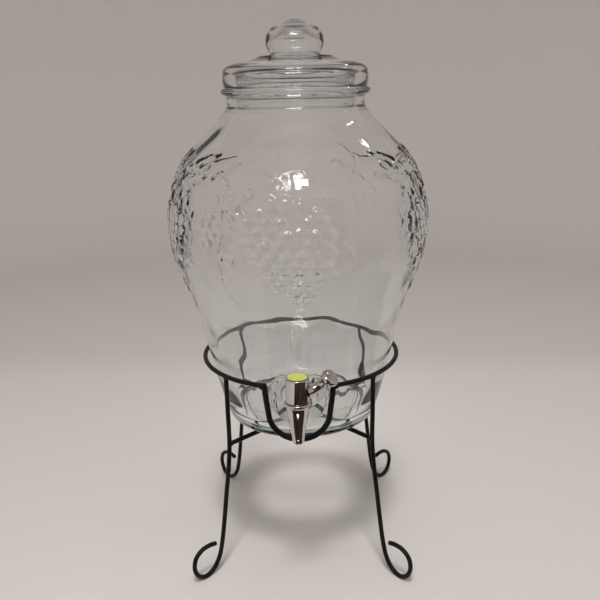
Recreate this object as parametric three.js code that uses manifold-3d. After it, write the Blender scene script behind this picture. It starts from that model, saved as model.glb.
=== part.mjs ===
// Drinks dispenser: a glass jar with a knobbed glass lid and a chrome tap, standing in a black wire stand.
// Millimetres, +Z up. The tap faces -Y. The origin is on the floor, at the middle of the footprint.
import * as THREE from 'three';
import { mergeVertices } from 'three/addons/utils/BufferGeometryUtils.js';
import Module from 'manifold-3d';

// ---- Driving dimensions ------------------------------------------------------------------------
const TOUCH_GAP = 0.3; // air left between two pieces that rest on each other

// Stand
const STAND_WIRE_R = 2.5;
const BOW_WIRE_R = 3;
const RING_R = 109.5; // centreline of the ring that the jar sits in
const RING_Z = 228;
const BOW_TOP_HALF = 35.6; // half the opening at the front of the ring
const BOW_ARC_R = 32;
const BOW_ARC_Z = 199.7;
const UPPER_BAR_Z = 154.1;
const LOWER_BAR_Z = UPPER_BAR_Z - 2 * STAND_WIRE_R - TOUCH_GAP;
const FOOT_SINK = 0.6; // how much of the wire is worn flat where a foot stands on the floor

// Jar
const JAR_BASE_Z = UPPER_BAR_Z + STAND_WIRE_R + TOUCH_GAP;
const JAR_TOP_Z = 518.7;
const JAR_WALL = 4.6;
const HEEL_WALL = 9.5; // the wall thickens towards the heel
const HEEL_WALL_Z = 180;
const THIN_WALL_Z = 350;
const JAR_FLOOR = 9;
const NECK_BORE_R = 65.5;
const TAP_Z = 212; // height of the tap's hole
const TAP_HOLE_R = 8.6;
const PAD_R = 30; // round flat pad that the tap is tightened against
const PAD_FACE_Y = -103.5;
const INNER_PAD_R = 18.5;
const PAD_BACK_Y = -89; // how far back the pad runs into the wall
const INNER_PAD_FACE_Y = -85;

// Lid
const LID_SEAT_Z = JAR_TOP_Z + TOUCH_GAP;

// Tap, with its upright axis at x = 0, y = TAP_AXIS_Y
const TAP_AXIS_Y = -145;
const NOZZLE_END_Z = 186;
const NOZZLE_BORE_R = 4.6;
const CHAMBER_R = 7.2;
const CHAMBER_FLOOR_Z = 203;
const HOUSING_TOP_Z = 230;
const STEM_R = 7.9;
const STEM_BORE_R = 4.2;
const STEM_END_Y = -74;
const STEM_FLANGE_R = 13.5;
const WASHER_R = 15;
const WASHER_BORE_R = 8.3;
const WASHER_THICK = 2.5;
const NUT_ACROSS_FLATS = 24;
const NUT_THICK = 7;

// Valve, inside the tap
const PLUG_R = 6.9;
const PLUG_TOP_Z = 229;
const PLUG_PORT_R = 3.4;
const DRIVE_SIDE = 7; // square end of the plug that the cap turns
const DRIVE_TOP_Z = 247;
const RING_SEAL_R = 6.1;
const RING_SEAL_WIRE_R = 0.9;
const SEAL_GROOVE_R = 4.9;
const SEAL_HEIGHTS = { plug_seal_lower: 205.9, plug_seal_upper: 220.5 };
const CAP_R = 11.5;
const CAP_WALL = 2;
const CAP_BOTTOM_Z = HOUSING_TOP_Z + 0.4;
const CAP_TOP_Z = 254.6;
const SCREW_HEAD_R = 3.6;
const SCREW_SHANK_R = 1.5;
const SCREW_TIP_Z = 240;
const LABEL_R = 9.9;
const LABEL_THICK = 0.4;

// How finely round things are cut
const JAR_SEGMENTS = 32;
const TAP_SEGMENTS = 24;
const WIRE_ARC_STEPS = 4; // an arc of this count gives an eight-sided wire

// ---- Solids ------------------------------------------------------------------------------------
const wasm = await Module();
wasm.setup();

// Turns a closed three.js geometry into a solid that can be joined and cut.
function solidOf(geometry) {
  const bare = geometry.clone();
  bare.deleteAttribute('normal');
  bare.deleteAttribute('uv');
  const merged = mergeVertices(bare, 1e-4);
  const vertProperties = new Float32Array(merged.attributes.position.array);
  const triVerts = new Uint32Array(merged.index.array);
  return new wasm.Manifold(new wasm.Mesh({ numProp: 3, vertProperties, triVerts }));
}

// Turns a solid back into a three.js geometry.
function geometryOf(solid) {
  const mesh = solid.getMesh();
  const geometry = new THREE.BufferGeometry();
  geometry.setAttribute('position', new THREE.BufferAttribute(mesh.vertProperties, mesh.numProp));
  geometry.setIndex(new THREE.BufferAttribute(mesh.triVerts, 1));
  geometry.computeVertexNormals();
  return geometry;
}

// Turns an outline of [radius, height] points about the Z axis. The outline runs up the outside.
function turned(outline, segments) {
  const points = outline.map(([radius, height]) => new THREE.Vector2(radius, height));
  return new THREE.LatheGeometry(points, segments).rotateX(Math.PI / 2);
}

// A turned ring whose outline closes on itself.
function turnedRing(outline, segments) {
  return turned([...outline, outline[0]], segments);
}

// An upright cylinder from one height to another.
function rod(radius, bottom, top, segments = TAP_SEGMENTS) {
  return turned([[0, bottom], [radius, bottom], [radius, top], [0, top]], segments);
}

// Lays an upright solid down, so that what was up points to +Y, at the tap's height.
function laidBack(geometry) {
  return geometry.rotateX(-Math.PI / 2).translate(0, 0, TAP_Z);
}

// A round wire along a curve, with flat ends.
function wire(curve, radius, steps) {
  const section = new THREE.Shape().absarc(0, 0, radius, 0, 2 * Math.PI);
  const options = { steps, curveSegments: WIRE_ARC_STEPS, bevelEnabled: false, extrudePath: curve };
  return new THREE.ExtrudeGeometry(section, options);
}

// Smooth outline through a few [radius, height] points.
function smoothOutline(points, count) {
  const curve = new THREE.SplineCurve(points.map(([radius, height]) => new THREE.Vector2(radius, height)));
  return curve.getSpacedPoints(count).map((point) => [point.x, point.y]);
}

// The outline moved sideways by a wall's thickness, towards the axis.
function insetOutline(outline, wallAt) {
  return outline.map(([radius, height], i) => {
    const wall = wallAt(height);
    const before = outline[Math.max(i - 1, 0)];
    const after = outline[Math.min(i + 1, outline.length - 1)];
    const run = new THREE.Vector2(after[0] - before[0], after[1] - before[1]).normalize();
    return [radius - wall * run.y, height + wall * run.x];
  });
}

const model = new THREE.Group();

// Adds one named piece, with a colour, roughness and metalness of its own.
function addPiece(name, geometry, look) {
  const mesh = new THREE.Mesh(geometry, new THREE.MeshStandardMaterial(look));
  mesh.name = name;
  model.add(mesh);
  return mesh;
}

const glassLook = { color: 0xdfe8e6, roughness: 0.04, metalness: 0, transparent: true, opacity: 0.35 };
const wireLook = { color: 0x1b1a19, roughness: 0.42, metalness: 0.3 };
const chromeLook = { color: 0xd9d6d2, roughness: 0.06, metalness: 1 };
const sealLook = { color: 0xe6e6e0, roughness: 0.5, metalness: 0 };
const plasticLook = { color: 0xe4e2dc, roughness: 0.45, metalness: 0 };
const nutLook = { color: 0xe9e7e2, roughness: 0.45, metalness: 0 };
const screwLook = { color: 0xb9b6b0, roughness: 0.3, metalness: 1 };
const labelLook = { color: 0xb9bf3a, roughness: 0.5, metalness: 0 };

// ---- Wire stand --------------------------------------------------------------------------------
// The ring is open at the front, where the bow that goes round the tap fills the opening.
function addRing() {
  const endHalf = BOW_TOP_HALF + BOW_WIRE_R + TOUCH_GAP;
  const endAngle = Math.asin(endHalf / RING_R);
  const points = [];
  const count = 28;
  for (let i = 0; i <= count; i++) {
    const angle = -Math.PI / 2 + endAngle + (2 * (Math.PI - endAngle) * i) / count;
    points.push(new THREE.Vector3(RING_R * Math.cos(angle), RING_R * Math.sin(angle), RING_Z));
  }
  addPiece('ring_wire', wire(new THREE.CatmullRomCurve3(points), STAND_WIRE_R, 2 * count), wireLook);
}

// The bow hangs from the ring's two ends: two straight sides and a round bottom.
function addBow() {
  const bowY = -Math.sqrt(RING_R ** 2 - BOW_TOP_HALF ** 2);
  const points = [new THREE.Vector3(-BOW_TOP_HALF, bowY, RING_Z + STAND_WIRE_R)];
  points.push(new THREE.Vector3((-BOW_TOP_HALF - BOW_ARC_R) / 2, bowY, (RING_Z + BOW_ARC_Z) / 2));
  const count = 10;
  for (let i = 0; i <= count; i++) {
    const angle = Math.PI + (Math.PI * i) / count;
    const drop = BOW_ARC_R * Math.sin(angle);
    points.push(new THREE.Vector3(BOW_ARC_R * Math.cos(angle), bowY, BOW_ARC_Z + drop));
  }
  points.push(new THREE.Vector3((BOW_TOP_HALF + BOW_ARC_R) / 2, bowY, (RING_Z + BOW_ARC_Z) / 2));
  points.push(new THREE.Vector3(BOW_TOP_HALF, bowY, RING_Z + STAND_WIRE_R));
  addPiece('spigot_bow', wire(new THREE.CatmullRomCurve3(points), BOW_WIRE_R, 36), wireLook);
}

// A leg lies in an upright plane through the jar's axis. It drops straight from under the ring,
// splays outwards below the cross bars, and ends in an open scroll that stands on the floor.
const legTopZ = RING_Z - STAND_WIRE_R - TOUCH_GAP;
const footZ = STAND_WIRE_R - FOOT_SINK;
const LEG_PATH = [
  [RING_R, legTopZ],
  [RING_R, 190],
  [RING_R, 150],
  [112.2, 122],
  [117, 92],
  [121.6, 62],
  [126.6, 34],
  [131.8, 17],
  [140, 6.2],
  [151, footZ],
  [160.6, 7.2],
  [165.2, 19],
  [162.6, 30.4],
  [154, 37],
  [143.5, 38],
  [135.4, 36.4],
];
const LEG_ANGLES = {
  leg_front_left: 225,
  leg_front_right: 315,
  leg_back_left: 135,
  leg_back_right: 45,
};

function addLegs() {
  const curve = new THREE.CatmullRomCurve3(LEG_PATH.map(([out, up]) => new THREE.Vector3(out, 0, up)));
  const floorBox = new THREE.BoxGeometry(400, 20, 20).translate(0, 0, -10);
  const leg = geometryOf(solidOf(wire(curve, STAND_WIRE_R, 40)).subtract(solidOf(floorBox)));
  for (const [name, degrees] of Object.entries(LEG_ANGLES)) {
    addPiece(name, leg.clone().rotateZ(THREE.MathUtils.degToRad(degrees)), wireLook);
  }
}

// Two straight bars cross under the jar, one lying on the other, each from leg to leg.
function addBars() {
  const half = RING_R - STAND_WIRE_R - TOUCH_GAP;
  const bars = { cross_bar_upper: [135, UPPER_BAR_Z], cross_bar_lower: [45, LOWER_BAR_Z] };
  for (const [name, [degrees, height]] of Object.entries(bars)) {
    const angle = THREE.MathUtils.degToRad(degrees);
    const out = new THREE.Vector3(half * Math.cos(angle), half * Math.sin(angle), 0);
    const start = out.clone().negate().setZ(height);
    const bar = wire(new THREE.LineCurve3(start, out.setZ(height)), STAND_WIRE_R, 2);
    addPiece(name, bar, wireLook);
  }
}

// ---- Jar ---------------------------------------------------------------------------------------
// Outside of the body, from the heel up to the foot of the neck.
const BODY_OUTLINE = [
  [84.2, JAR_BASE_Z + 3.4],
  [88.6, 172],
  [94.6, 195],
  [101.2, 223],
  [106.6, 249],
  [111.6, 271],
  [116.4, 290],
  [122, 310],
  [129, 330],
  [135.2, 352],
  [138.4, 377],
  [136.8, 400],
  [131.4, 424],
  [122.6, 443.5],
  [108.6, 460.5],
  [93, 476],
  [81.6, 487],
  [74.6, 497],
];

function jarWallAt(height) {
  return THREE.MathUtils.mapLinear(
    THREE.MathUtils.clamp(height, HEEL_WALL_Z, THIN_WALL_Z), HEEL_WALL_Z, THIN_WALL_Z, HEEL_WALL, JAR_WALL);
}

function addJar() {
  const body = smoothOutline(BODY_OUTLINE, 19);
  const heel = [[0, JAR_BASE_Z + 5], [70, JAR_BASE_Z + 3.4], [75, JAR_BASE_Z], [79, JAR_BASE_Z]];
  const neck = [[72, 504], [72, 510.5], [76.4, 512.5], [78.2, 515.5], [76.6, JAR_TOP_Z]];
  const mouth = [[67, JAR_TOP_Z], [NECK_BORE_R, JAR_TOP_Z - 1.5], [NECK_BORE_R, 503]];
  const floorZ = JAR_BASE_Z + JAR_FLOOR;
  const inside = insetOutline(body, jarWallAt)
    .filter(([radius, height]) => height > floorZ + 4 && height < 499)
    .reverse();
  const floor = [[inside[inside.length - 1][0] - 5, floorZ + 0.6], [60, floorZ], [0, floorZ]];
  const shell = solidOf(turned([...heel, ...body, ...neck, ...mouth, ...inside, ...floor], JAR_SEGMENTS));

  // The tap's pad: glass added out to the flat face, and everything in front of the face removed.
  const pad = solidOf(laidBack(rod(PAD_R, PAD_FACE_Y, PAD_BACK_Y)));
  const innerPad = solidOf(laidBack(rod(INNER_PAD_R, PAD_FACE_Y + 4, INNER_PAD_FACE_Y)));
  const spotFace = solidOf(laidBack(rod(PAD_R, PAD_FACE_Y - 20, PAD_FACE_Y)));
  const hole = solidOf(laidBack(rod(TAP_HOLE_R, PAD_FACE_Y - 5, INNER_PAD_FACE_Y + 5)));
  const bored = shell.add(pad).add(innerPad).subtract(spotFace).subtract(hole);
  addPiece('glass_jar', geometryOf(bored), glassLook);
}

// ---- Lid ---------------------------------------------------------------------------------------
// One turned piece: a rounded, grooved rim on the jar's flange, a skirt inside the neck, a hollow knob.
function addLid() {
  const outline = [
    [56.6, 499.5], [57.8, 498], [60.4, 498], [61.6, 499.5], [62, 517], [62.2, 529], [63.2, 533.2],
    [65.4, 535.4], [67.6, 533.8], [69, 529.5], [69.4, 522.5], [70.2, 519.8], [71.2, LID_SEAT_Z],
    [73.2, LID_SEAT_Z], [75, 522.5], [75.6, 530], [74.6, 536.6], [71.4, 540.4],
    [64, 542.6], [46, 546.2], [41, 547.6], [38.4, 549.4], [29, 550.6], [25.4, 551.8],
    [26.8, 554.4], [28.9, 558.4], [29.8, 563], [29.2, 568.6], [27, 573.6], [24, 577],
    [19.6, 578.8], [14.2, 579.6], [11.6, 581.4], [9, 583.6], [5, 584.9], [0, 585.3],
  ];
  const hollow = [
    [0, 573.8], [8, 573.4], [14.5, 571], [19.4, 567], [22, 562.4], [21.8, 558], [20, 554],
    [18.2, 550.8], [17.8, 547.6], [19.4, 545], [23, 543.6], [30, 543.2], [46, 540], [52.4, 537.6],
    [55.4, 532.5], [55.8, 517],
  ];
  addPiece('glass_lid', turned([...hollow, ...outline], JAR_SEGMENTS), glassLook);
}

// ---- Tap ---------------------------------------------------------------------------------------
// Moves a solid built about the Z axis onto the tap's upright axis.
function atTap(geometry) {
  return geometry.translate(0, TAP_AXIS_Y, 0);
}

// Housing, nozzle and threaded stem are one chromed moulding.
function addTapBody() {
  const housing = [
    [0, NOZZLE_END_Z], [5.3, NOZZLE_END_Z], [5.9, 187], [6.1, 191], [6.9, 197], [8.2, 205],
    [9.2, 210.5], [10.2, 216.4], [11.2, 222.4], [11.9, 226], [12.9, 227], [13.2, 228.2],
    [12.9, 229.4], [12.2, HOUSING_TOP_Z], [0, HOUSING_TOP_Z],
  ];
  const flangeY = PAD_FACE_Y - WASHER_THICK - 2 * TOUCH_GAP;
  const stem = [
    [0, TAP_AXIS_Y + 2], [8.6, TAP_AXIS_Y + 2], [8.6, flangeY - 5], [STEM_FLANGE_R, flangeY - 3.4],
    [STEM_FLANGE_R, flangeY], [STEM_R, flangeY], [STEM_R, STEM_END_Y - 1], [STEM_R - 1, STEM_END_Y],
    [0, STEM_END_Y],
  ];
  const upright = solidOf(atTap(turned(housing, TAP_SEGMENTS)));
  const outside = upright.add(solidOf(laidBack(turned(stem, TAP_SEGMENTS))));
  const chamber = solidOf(atTap(rod(CHAMBER_R, CHAMBER_FLOOR_Z, HOUSING_TOP_Z + 1)));
  const outlet = solidOf(atTap(rod(NOZZLE_BORE_R, NOZZLE_END_Z - 1, CHAMBER_FLOOR_Z + 1)));
  const inlet = solidOf(laidBack(rod(STEM_BORE_R, TAP_AXIS_Y, STEM_END_Y + 1)));
  const body = outside.subtract(chamber).subtract(outlet).subtract(inlet);
  addPiece('spigot_body', geometryOf(body), chromeLook);
}

// A washer on each side of the glass, and the nut that draws the tap tight from inside.
function addTapFixings() {
  const washers = {
    outer_washer: PAD_FACE_Y - TOUCH_GAP - WASHER_THICK,
    inner_washer: INNER_PAD_FACE_Y + TOUCH_GAP,
  };
  for (const [name, back] of Object.entries(washers)) {
    const front = back + WASHER_THICK;
    const outline = [[WASHER_BORE_R, back], [WASHER_R, back], [WASHER_R, front], [WASHER_BORE_R, front]];
    addPiece(name, laidBack(turnedRing(outline, TAP_SEGMENTS)), sealLook);
  }
  const nutStart = INNER_PAD_FACE_Y + 2 * TOUCH_GAP + WASHER_THICK;
  const cornerR = NUT_ACROSS_FLATS / Math.sqrt(3);
  const blank = solidOf(laidBack(rod(cornerR, nutStart, nutStart + NUT_THICK, 6)));
  const bore = solidOf(laidBack(rod(WASHER_BORE_R, nutStart - 1, nutStart + NUT_THICK + 1)));
  addPiece('spigot_nut', geometryOf(blank.subtract(bore)), nutLook);
}

// ---- Valve -------------------------------------------------------------------------------------
// The plug has a passage up its middle and a side port. At rest the port faces -X, so the tap is
// shut. A quarter turn that brings the lever to the front brings the port round to the stem.
function addPlug() {
  const outline = [[0, CHAMBER_FLOOR_Z + TOUCH_GAP], [PLUG_R, CHAMBER_FLOOR_Z + TOUCH_GAP]];
  const halfGroove = RING_SEAL_WIRE_R + 0.3;
  for (const height of Object.values(SEAL_HEIGHTS)) {
    outline.push([PLUG_R, height - halfGroove], [SEAL_GROOVE_R, height - halfGroove]);
    outline.push([SEAL_GROOVE_R, height + halfGroove], [PLUG_R, height + halfGroove]);
  }
  outline.push([PLUG_R, PLUG_TOP_Z], [0, PLUG_TOP_Z]);
  const barrel = solidOf(turned(outline, TAP_SEGMENTS));
  const driveHeight = DRIVE_TOP_Z - PLUG_TOP_Z + 1;
  const drive = new THREE.BoxGeometry(DRIVE_SIDE, DRIVE_SIDE, driveHeight);
  drive.translate(0, 0, DRIVE_TOP_Z - driveHeight / 2);
  const passage = solidOf(rod(PLUG_PORT_R, CHAMBER_FLOOR_Z - 1, TAP_Z, 16));
  const port = solidOf(rod(PLUG_PORT_R, 0, PLUG_R + 1, 16).rotateY(-Math.PI / 2).translate(0, 0, TAP_Z));
  const pilot = solidOf(rod(SCREW_SHANK_R + TOUCH_GAP, SCREW_TIP_Z - 1, DRIVE_TOP_Z + 1, 12));
  const plug = barrel.add(solidOf(drive)).subtract(passage).subtract(port).subtract(pilot);
  addPiece('valve_plug', atTap(geometryOf(plug)), plasticLook);
  for (const [name, height] of Object.entries(SEAL_HEIGHTS)) {
    const seal = new THREE.TorusGeometry(RING_SEAL_R, RING_SEAL_WIRE_R, 6, 18).translate(0, 0, height);
    addPiece(name, atTap(seal), sealLook);
  }
}

// The cap is a shell with a socket inside for the plug's square end, and a screw down its middle.
function addCap() {
  const rim = CAP_TOP_Z - 1;
  const outline = [
    [CAP_R - CAP_WALL, CAP_BOTTOM_Z], [CAP_R - 0.3, CAP_BOTTOM_Z], [CAP_R, CAP_BOTTOM_Z + 0.4],
    [CAP_R, rim], [CAP_R - 0.8, CAP_TOP_Z], [0, CAP_TOP_Z],
  ];
  const socketBottom = 238;
  const ceiling = CAP_TOP_Z - 3.4;
  const inside = [[0, socketBottom], [6.6, socketBottom], [6.6, ceiling], [CAP_R - CAP_WALL, ceiling]];
  const shell = solidOf(turned([...inside, ...outline], TAP_SEGMENTS));
  const clearSide = DRIVE_SIDE + 2 * TOUCH_GAP;
  const socket = new THREE.BoxGeometry(clearSide, clearSide, 20);
  socket.translate(0, 0, DRIVE_TOP_Z + TOUCH_GAP - 10);
  const headHole = solidOf(rod(SCREW_HEAD_R + TOUCH_GAP, CAP_TOP_Z - 2.4, CAP_TOP_Z + 1, 16));
  const shankHole = solidOf(rod(SCREW_SHANK_R + TOUCH_GAP, DRIVE_TOP_Z, CAP_TOP_Z, 12));
  const cap = shell.subtract(solidOf(socket)).subtract(headHole).subtract(shankHole);
  addPiece('handle_cap', atTap(geometryOf(cap)), chromeLook);

  const headBottom = CAP_TOP_Z - 2.1;
  const screw = [
    [0, SCREW_TIP_Z], [SCREW_SHANK_R, SCREW_TIP_Z + 1.5], [SCREW_SHANK_R, headBottom],
    [SCREW_HEAD_R, headBottom], [SCREW_HEAD_R, CAP_TOP_Z - 0.6], [0, CAP_TOP_Z - 0.6],
  ];
  addPiece('cap_screw', atTap(turned(screw, 16)), screwLook);
  const labelBottom = CAP_TOP_Z + TOUCH_GAP;
  addPiece('cap_label', atTap(rod(LABEL_R, labelBottom, labelBottom + LABEL_THICK)), labelLook);
}

// The lever is a trumpet: wide where it meets the cap, slim in the middle, and flared into a round
// domed thumb pad. Its turned form is bent along a curve that rises and comes forward.
function addLever() {
  const rings = [
    [0, 0], [7, 0], [6, 3], [5.2, 6.5], [4.8, 10.5], [4.9, 15], [5.8, 19.5], [7.8, 23.4],
    [8.8, 25.2], [8.9, 27], [7.9, 28.8], [5, 30], [0, 30.5],
  ];
  const path = new THREE.CatmullRomCurve3([
    new THREE.Vector3(9.8, 0, 240.6),
    new THREE.Vector3(15.8, 1.4, 242.2),
    new THREE.Vector3(22, 2.2, 245.8),
    new THREE.Vector3(28, 1.2, 250.6),
    new THREE.Vector3(33, -2, 256.2),
  ]);
  const lengthTotal = path.getLength();
  const lever = turned(rings, 12);
  const spots = lever.attributes.position;
  const up = new THREE.Vector3(0, 0, 1);
  for (let i = 0; i < spots.count; i++) {
    const along = THREE.MathUtils.clamp(spots.getZ(i) / lengthTotal, 0, 1);
    const centre = path.getPointAt(along);
    const ahead = path.getTangentAt(along);
    const side = new THREE.Vector3().crossVectors(up, ahead).normalize();
    const over = new THREE.Vector3().crossVectors(ahead, side);
    const beyond = Math.max(spots.getZ(i) - lengthTotal, 0);
    centre.addScaledVector(side, -spots.getY(i)).addScaledVector(over, spots.getX(i));
    centre.addScaledVector(ahead, beyond);
    spots.setXYZ(i, centre.x, centre.y, centre.z);
  }
  const clearance = solidOf(rod(CAP_R + TOUCH_GAP, 225, 262));
  addPiece('lever_arm', atTap(geometryOf(solidOf(lever).subtract(clearance))), chromeLook);
}

addRing();
addBow();
addLegs();
addBars();
addJar();
addLid();
addTapBody();
addTapFixings();
addPlug();
addCap();
addLever();

// Stand the model on the origin: the middle of its footprint, at floor level.
const extent = new THREE.Box3().setFromObject(model);
const middle = extent.getCenter(new THREE.Vector3());
model.position.set(-middle.x, -middle.y, -extent.min.z);

export default model;
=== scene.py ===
"""Looks for the glass drinks jar: clear pressed glass with raised vines, a chrome tap, a black wire stand."""

import bmesh
import bpy
import math
import numpy as np
from mathutils import Matrix, Vector


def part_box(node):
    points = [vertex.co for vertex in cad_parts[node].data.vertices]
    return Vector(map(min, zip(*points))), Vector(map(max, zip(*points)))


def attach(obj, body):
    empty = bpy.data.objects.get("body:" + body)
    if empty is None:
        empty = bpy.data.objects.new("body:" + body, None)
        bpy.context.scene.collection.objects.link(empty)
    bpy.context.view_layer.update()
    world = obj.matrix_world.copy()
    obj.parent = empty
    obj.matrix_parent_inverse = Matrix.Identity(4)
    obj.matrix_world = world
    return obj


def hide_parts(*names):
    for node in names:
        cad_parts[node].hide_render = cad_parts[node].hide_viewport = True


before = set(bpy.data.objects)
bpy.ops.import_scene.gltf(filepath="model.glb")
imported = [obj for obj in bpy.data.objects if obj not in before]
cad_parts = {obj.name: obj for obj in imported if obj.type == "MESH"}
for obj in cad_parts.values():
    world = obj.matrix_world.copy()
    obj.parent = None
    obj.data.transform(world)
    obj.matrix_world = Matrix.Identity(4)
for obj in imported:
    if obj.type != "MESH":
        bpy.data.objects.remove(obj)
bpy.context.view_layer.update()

MM = 0.001
jar_low, jar_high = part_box("glass_jar")
plug_low, plug_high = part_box("valve_plug")
AXIS = Vector(((jar_low.x + jar_high.x) / 2, (jar_low.y + jar_high.y) / 2, 0))  # the jar's upright axis
TAP_Y = ((plug_low.y + plug_high.y) / 2 - AXIS.y) / MM  # the tap's upright axis, in mm in front of the jar's


# ---------------------------------------------------------------- shapes, in mm round the jar's axis
def smooth_line(points, step):
    """A centripetal Catmull-Rom curve through the points, resampled evenly at about step."""
    p = np.array(points, float)
    p = np.vstack([2 * p[0] - p[1], p, 2 * p[-1] - p[-2]])
    dense = []
    for i in range(1, len(p) - 2):
        knots = [0.0]
        for j in range(3):
            knots.append(knots[-1] + max(np.linalg.norm(p[i + j] - p[i + j - 1]), 1e-9) ** 0.5)
        k0, k1, k2, k3 = knots
        spots = np.linspace(k1, k2, 25)
        if i < len(p) - 3:
            spots = spots[:-1]
        for t in spots:
            a1 = (k1 - t) / (k1 - k0) * p[i - 1] + (t - k0) / (k1 - k0) * p[i]
            a2 = (k2 - t) / (k2 - k1) * p[i] + (t - k1) / (k2 - k1) * p[i + 1]
            a3 = (k3 - t) / (k3 - k2) * p[i + 1] + (t - k2) / (k3 - k2) * p[i + 2]
            b1 = (k2 - t) / (k2 - k0) * a1 + (t - k0) / (k2 - k0) * a2
            b2 = (k3 - t) / (k3 - k1) * a2 + (t - k1) / (k3 - k1) * a3
            dense.append((k2 - t) / (k2 - k1) * b1 + (t - k1) / (k2 - k1) * b2)
    return resample(np.array(dense), step)


def resample(line, step):
    """The line again, with its points evenly spaced at about step."""
    line = np.array(line, float)
    along = np.concatenate([[0], np.cumsum(np.linalg.norm(np.diff(line, axis=0), axis=1))])
    count = max(2, int(round(along[-1] / step)) + 1)
    at = np.linspace(0, along[-1], count)
    return np.stack([np.interp(at, along, line[:, k]) for k in range(line.shape[1])], 1)


def rounded(points, cut, steps=4):
    """A line of straight stretches whose corners are rounded off over cut on each side."""
    p = np.array(points, float)
    out = [p[0]]
    for i in range(1, len(p) - 1):
        before, after = p[i - 1] - p[i], p[i + 1] - p[i]
        a = p[i] + before * min(0.45, cut / np.linalg.norm(before))
        b = p[i] + after * min(0.45, cut / np.linalg.norm(after))
        for t in np.linspace(0, 1, steps):
            out.append((1 - t) ** 2 * a + 2 * t * (1 - t) * p[i] + t**2 * b)
    out.append(p[-1])
    return np.array(out)


def turned(outline, columns, closed=False):
    """Points and faces of an outline of (radius, height) turned round Z. Radius 0 makes a pole."""
    angles = np.arange(columns) * 2 * math.pi / columns
    points, rows = [], []
    for r, z in outline:
        if r < 1e-6:
            rows.append([len(points)] * columns)
            points.append((0, 0, z))
        else:
            rows.append([len(points) + i for i in range(columns)])
            points.extend((r * math.cos(a), r * math.sin(a), z) for a in angles)
    if closed:
        rows.append(rows[0])
    return points, strips(rows)


def strips(rows):
    """Faces between rows of point numbers. A row may have half or twice as many points as the next."""
    faces = []
    for low, high in zip(rows, rows[1:]):
        n, m = len(low), len(high)
        if n == m:
            for i in range(n):
                j = (i + 1) % n
                corners = list(dict.fromkeys((low[i], low[j], high[j], high[i])))
                if len(corners) > 2:
                    faces.append(corners)
            continue
        few, many = (low, high) if n < m else (high, low)
        for i in range(len(few)):
            j, k = (i + 1) % len(few), (2 * i + 2) % len(many)
            faces.append((few[i], few[j], many[2 * i + 1]))
            faces.append((few[i], many[2 * i + 1], many[2 * i]))
            faces.append((few[j], many[k], many[2 * i + 1]))
    return faces


def tube(path, radius):
    """A round wire along the path, with softly rounded ends."""
    ahead = np.gradient(path, axis=0)
    ahead /= np.linalg.norm(ahead, axis=1)[:, None]
    side = np.cross(ahead[0], (0, 0, 1) if abs(ahead[0][2]) < 0.9 else (0, 1, 0))
    axes = []
    for way in ahead:
        side = side - way * (side @ way)
        side /= np.linalg.norm(side)
        axes.append((side, np.cross(way, side)))
    ends = [(inset * radius, share * radius) for inset, share in WIRE_END]
    centres = [path[0] + ahead[0] * inset for inset, _ in ends]
    centres += list(path[1:-1])
    centres += [path[-1] - ahead[-1] * inset for inset, _ in reversed(ends)]
    sizes = [size for _, size in ends] + [radius] * (len(path) - 2) + [size for _, size in reversed(ends)]
    extra = len(ends) - 1
    axes = [axes[0]] * extra + axes + [axes[-1]] * extra
    turn = np.arange(WIRE_SIDES) * 2 * math.pi / WIRE_SIDES
    points, rows = [], []
    for c, (u, v), r in zip(centres, axes, sizes):
        rows.append([len(points) + i for i in range(WIRE_SIDES)])
        points.extend(tuple(c + r * (math.cos(a) * u + math.sin(a) * v)) for a in turn)
    faces = strips(rows)
    faces.append(rows[0][::-1])
    faces.append(rows[-1])
    return points, faces


def joined(shapes):
    """Several shapes as one."""
    points, faces = [], []
    for p, f in shapes:
        faces += [tuple(i + len(points) for i in face) for face in f]
        points += list(p)
    return points, faces


def cylinder(radius, low, high, columns=48):
    """A plain round bar along Z, to join to a shape or cut from one."""
    return turned([(0, low), (radius, low), (radius, high), (0, high)], columns)


def block(low, high):
    """A plain box between two corners, to join to a shape or cut from one."""
    points = [(x, y, z) for z in (low[2], high[2]) for y in (low[1], high[1]) for x in (low[0], high[0])]
    return points, [(0, 2, 3, 1), (4, 5, 7, 6), (0, 1, 5, 4), (2, 6, 7, 3), (0, 4, 6, 2), (1, 3, 7, 5)]


def mesh_of(shape):
    """A Blender mesh, in metres in the frame of the CAD, with its faces turned outwards."""
    points, faces = shape
    mesh = bpy.data.meshes.new("shape")
    mesh.from_pydata([Vector(p) * MM + AXIS for p in points], [], faces)
    work = bmesh.new()
    work.from_mesh(mesh)
    bmesh.ops.remove_doubles(work, verts=work.verts, dist=1e-7)
    bmesh.ops.recalc_face_normals(work, faces=work.faces)
    work.to_mesh(mesh)
    work.free()
    return mesh


def combined(mesh, steps):
    """The mesh after a row of booleans, each an operation and another mesh."""
    ob = bpy.data.objects.new("work", mesh)
    bpy.context.scene.collection.objects.link(ob)
    tools = []
    for operation, other in steps:
        tool = bpy.data.objects.new("tool", other)
        bpy.context.scene.collection.objects.link(tool)
        change = ob.modifiers.new("change", "BOOLEAN")
        change.operation, change.object, change.solver = operation, tool, "EXACT"
        tools.append(tool)
    bpy.context.view_layer.update()
    made = bpy.data.meshes.new_from_object(ob.evaluated_get(bpy.context.evaluated_depsgraph_get()))
    for extra in [ob, *tools]:
        bpy.data.objects.remove(extra)
    return made


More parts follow.
